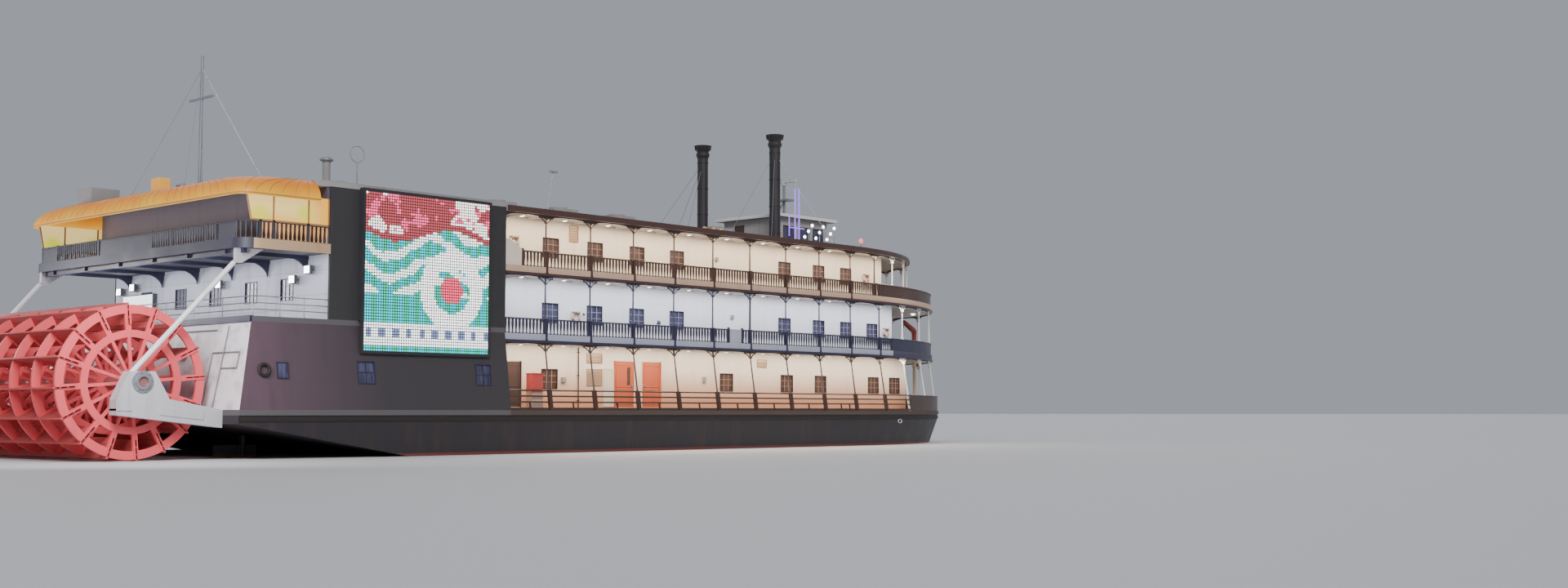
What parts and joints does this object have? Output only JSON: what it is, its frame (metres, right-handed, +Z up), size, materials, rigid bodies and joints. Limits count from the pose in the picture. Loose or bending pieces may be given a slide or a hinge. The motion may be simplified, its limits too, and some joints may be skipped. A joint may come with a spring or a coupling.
{
  "type": "sternwheel paddle boat, 1:2 scale model",
  "caption": "Flat-bottomed river casino boat with stacked galleried decks, light screens on its sides and a turning sternwheel behind a raked stern.",
  "frame": {"origin": "on the hull's flat bottom, on the centreline, midway between the paddle wheel's aft edge and the bow tip", "axes": "+X forward to the bow, +Y to port, +Z up"},
  "size_m": [30.1207, 9.75, 9.9503],
  "materials": {
    "white_paint": "satin white",
    "hull_grey": "satin dark grey",
    "deck_brown": "matt deck paint",
    "trim_brown": "satin taupe brown",
    "coral_paint": "satin coral red",
    "red_paint": "satin red",
    "brown_paint": "satin brown",
    "amber_canopy": "translucent amber sheet",
    "screen": "light panel in a dark frame",
    "steel": "galvanised",
    "stack_black": "satin black",
    "engine_green": "machinery green"
  },
  "bodies": {
    "boat": {"hull": "hull_grey", "main_deck": "deck_brown", "second_deck": "deck_brown", "third_deck": "deck_brown", "roof": "white_paint", "main_wall_starboard": "white_paint", "main_wall_port": "white_paint", "main_wall_front": "white_paint", "second_wall_starboard": "white_paint", "second_wall_port": "white_paint", "second_wall_front": "white_paint", "third_wall_starboard": "white_paint", "third_wall_port": "white_paint", "third_wall_front": "white_paint", "stern_base": "white_paint", "engine_block": "engine_green", "screen_wall_starboard": "white_paint", "screen_wall_port": "white_paint", "light_screen_starboard": "screen", "light_screen_port": "screen", "second_wall_aft": "white_paint", "third_wall_aft": "white_paint", "second_gallery_starboard": "trim_brown", "second_gallery_port": "trim_brown", "third_gallery_starboard": "trim_brown", "third_gallery_port": "trim_brown", "second_gallery_bow": "trim_brown", "third_gallery_bow": "trim_brown", "main_rail_starboard": "trim_brown", "main_rail_port": "trim_brown", "main_rail_bow": "trim_brown", "balcony_rail": "trim_brown", "stern_canopy": "amber_canopy", "platform_rail": "steel", "wheel_arm_starboard": "white_paint", "wheel_arm_port": "white_paint", "pilothouse": "white_paint", "pilothouse_roof": "trim_brown", "smokestack_starboard": "stack_black", "smokestack_port": "stack_black", "radar_mast": "steel", "davit_pedestal": "red_paint", "stern_mast": "steel"},
    "wheel": {"paddle_wheel": "coral_paint", "paddle_shaft": "steel"},
    "starboard_rudder": {"rudder_starboard": "hull_grey"},
    "port_rudder": {"rudder_port": "hull_grey"},
    "starboard_cabin_door": {"cabin_door_starboard": "brown_paint"},
    "port_cabin_door": {"cabin_door_port": "brown_paint"},
    "starboard_entrance_door_aft": {"entrance_door_aft_starboard": "red_paint"},
    "port_entrance_door_aft": {"entrance_door_aft_port": "red_paint"},
    "starboard_entrance_door_fore": {"entrance_door_fore_starboard": "red_paint"},
    "port_entrance_door_fore": {"entrance_door_fore_port": "red_paint"},
    "starboard_gate": {"gallery_gate_starboard": "white_paint"},
    "port_gate": {"gallery_gate_port": "white_paint"},
    "pilot_door": {"pilothouse_door": "brown_paint"},
    "scanner": {"radar_scanner": "white_paint"},
    "davit": {"davit_boom": "red_paint"}
  },
  "joints": [
    {"name": "wheel_spin", "type": "hinge", "parent": "boat", "child": "wheel", "pos_m": [-13.5375, 0, 2.3], "axis": [0, 1, 0], "continuous": true},
    {"name": "starboard_rudder_turn", "type": "hinge", "parent": "boat", "child": "starboard_rudder", "pos_m": [-10.4875, -2.6, 0.6], "axis": [0, 0, 1], "range_deg": [-35, 35]},
    {"name": "port_rudder_turn", "type": "hinge", "parent": "boat", "child": "port_rudder", "pos_m": [-10.4875, 2.6, 0.6], "axis": [0, 0, 1], "range_deg": [-35, 35]},
    {"name": "starboard_cabin_door_hinge", "type": "hinge", "parent": "boat", "child": "starboard_cabin_door", "pos_m": [-4.206, -3.9475, 2.3], "axis": [0, 0, 1], "range_deg": [0, 110]},
    {"name": "port_cabin_door_hinge", "type": "hinge", "parent": "boat", "child": "port_cabin_door", "pos_m": [-4.206, 3.9475, 2.3], "axis": [0, 0, -1], "range_deg": [0, 110]},
    {"name": "starboard_entrance_aft_hinge", "type": "hinge", "parent": "boat", "child": "starboard_entrance_door_aft", "pos_m": [-1.269, -3.9475, 2.3], "axis": [0, 0, -1], "range_deg": [0, 110]},
    {"name": "port_entrance_aft_hinge", "type": "hinge", "parent": "boat", "child": "port_entrance_door_aft", "pos_m": [-1.269, 3.9475, 2.3], "axis": [0, 0, 1], "range_deg": [0, 110]},
    {"name": "starboard_entrance_fore_hinge", "type": "hinge", "parent": "boat", "child": "starboard_entrance_door_fore", "pos_m": [0.294, -3.9475, 2.3], "axis": [0, 0, 1], "range_deg": [0, 110]},
    {"name": "port_entrance_fore_hinge", "type": "hinge", "parent": "boat", "child": "port_entrance_door_fore", "pos_m": [0.294, 3.9475, 2.3], "axis": [0, 0, -1], "range_deg": [0, 110]},
    {"name": "starboard_gate_hinge", "type": "hinge", "parent": "boat", "child": "starboard_gate", "pos_m": [2.156, -4.5315, 3.6], "axis": [0, 0, 1], "range_deg": [0, 90]},
    {"name": "port_gate_hinge", "type": "hinge", "parent": "boat", "child": "port_gate", "pos_m": [2.156, 4.5315, 3.6], "axis": [0, 0, -1], "range_deg": [0, 90]},
    {"name": "pilot_door_hinge", "type": "hinge", "parent": "boat", "child": "pilot_door", "pos_m": [7.89, 0.3185, 6.9], "axis": [0, 0, 1], "range_deg": [0, 110]},
    {"name": "radar_spin", "type": "hinge", "parent": "boat", "child": "scanner", "pos_m": [9.4125, 0, 8.8], "axis": [0, 0, 1], "continuous": true},
    {"name": "davit_slew", "type": "hinge", "parent": "boat", "child": "davit", "pos_m": [13.0125, -2.325, 4.21], "axis": [0, 0, 1], "range_deg": [-60, 60]}
  ],
  "couplings": [
    {"joint": "port_rudder_turn", "follows": "starboard_rudder_turn", "ratio": 1}
  ]
}
